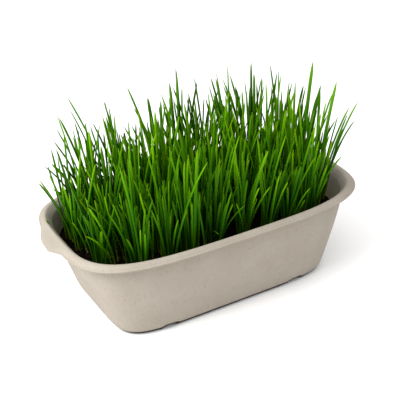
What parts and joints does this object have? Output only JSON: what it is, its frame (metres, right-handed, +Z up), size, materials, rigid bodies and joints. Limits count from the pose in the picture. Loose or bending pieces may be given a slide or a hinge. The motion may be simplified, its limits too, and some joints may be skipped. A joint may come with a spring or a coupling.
{
  "type": "wheatgrass tray",
  "caption": "Oblong moulded-fibre tray of dark soil, densely grown with upright green wheatgrass blades.",
  "frame": {"origin": "middle of the tray's flat underside, on the surface that it stands on", "axes": "+Z up, +X along the tray's long side away from the grip tab, +Y across the tray"},
  "size_m": [0.2736, 0.1475, 0.1787],
  "materials": {
    "fibre": "matte moulded plant fibre, off-white beige",
    "soil": "moist dark potting soil, crumbly",
    "grass": "satin fresh green leaf"
  },
  "bodies": {
    "root": {"tray": "fibre", "soil": "soil", "grass_tuft_01": "grass", "grass_tuft_02": "grass", "grass_tuft_03": "grass", "grass_tuft_04": "grass", "grass_tuft_05": "grass", "grass_tuft_06": "grass", "grass_tuft_07": "grass", "grass_tuft_08": "grass", "grass_tuft_09": "grass", "grass_tuft_10": "grass", "grass_tuft_11": "grass", "grass_tuft_12": "grass", "grass_tuft_13": "grass", "grass_tuft_14": "grass", "grass_tuft_15": "grass", "grass_tuft_16": "grass", "grass_tuft_17": "grass", "grass_tuft_18": "grass", "grass_tuft_19": "grass", "grass_tuft_20": "grass", "grass_tuft_21": "grass", "grass_tuft_22": "grass", "grass_tuft_23": "grass", "grass_tuft_24": "grass", "grass_tuft_25": "grass", "grass_tuft_26": "grass", "grass_tuft_27": "grass", "grass_tuft_28": "grass", "grass_tuft_29": "grass", "grass_tuft_30": "grass", "grass_tuft_31": "grass", "grass_tuft_32": "grass", "grass_tuft_33": "grass", "grass_tuft_34": "grass", "grass_tuft_35": "grass", "grass_tuft_36": "grass", "grass_tuft_37": "grass", "grass_tuft_38": "grass", "grass_tuft_39": "grass", "grass_tuft_40": "grass", "grass_tuft_41": "grass", "grass_tuft_42": "grass", "grass_tuft_43": "grass", "grass_tuft_44": "grass", "grass_tuft_45": "grass", "grass_tuft_46": "grass", "grass_tuft_47": "grass", "grass_tuft_48": "grass", "grass_tuft_49": "grass", "grass_tuft_50": "grass", "grass_tuft_51": "grass"}
  },
  "joints": []
}
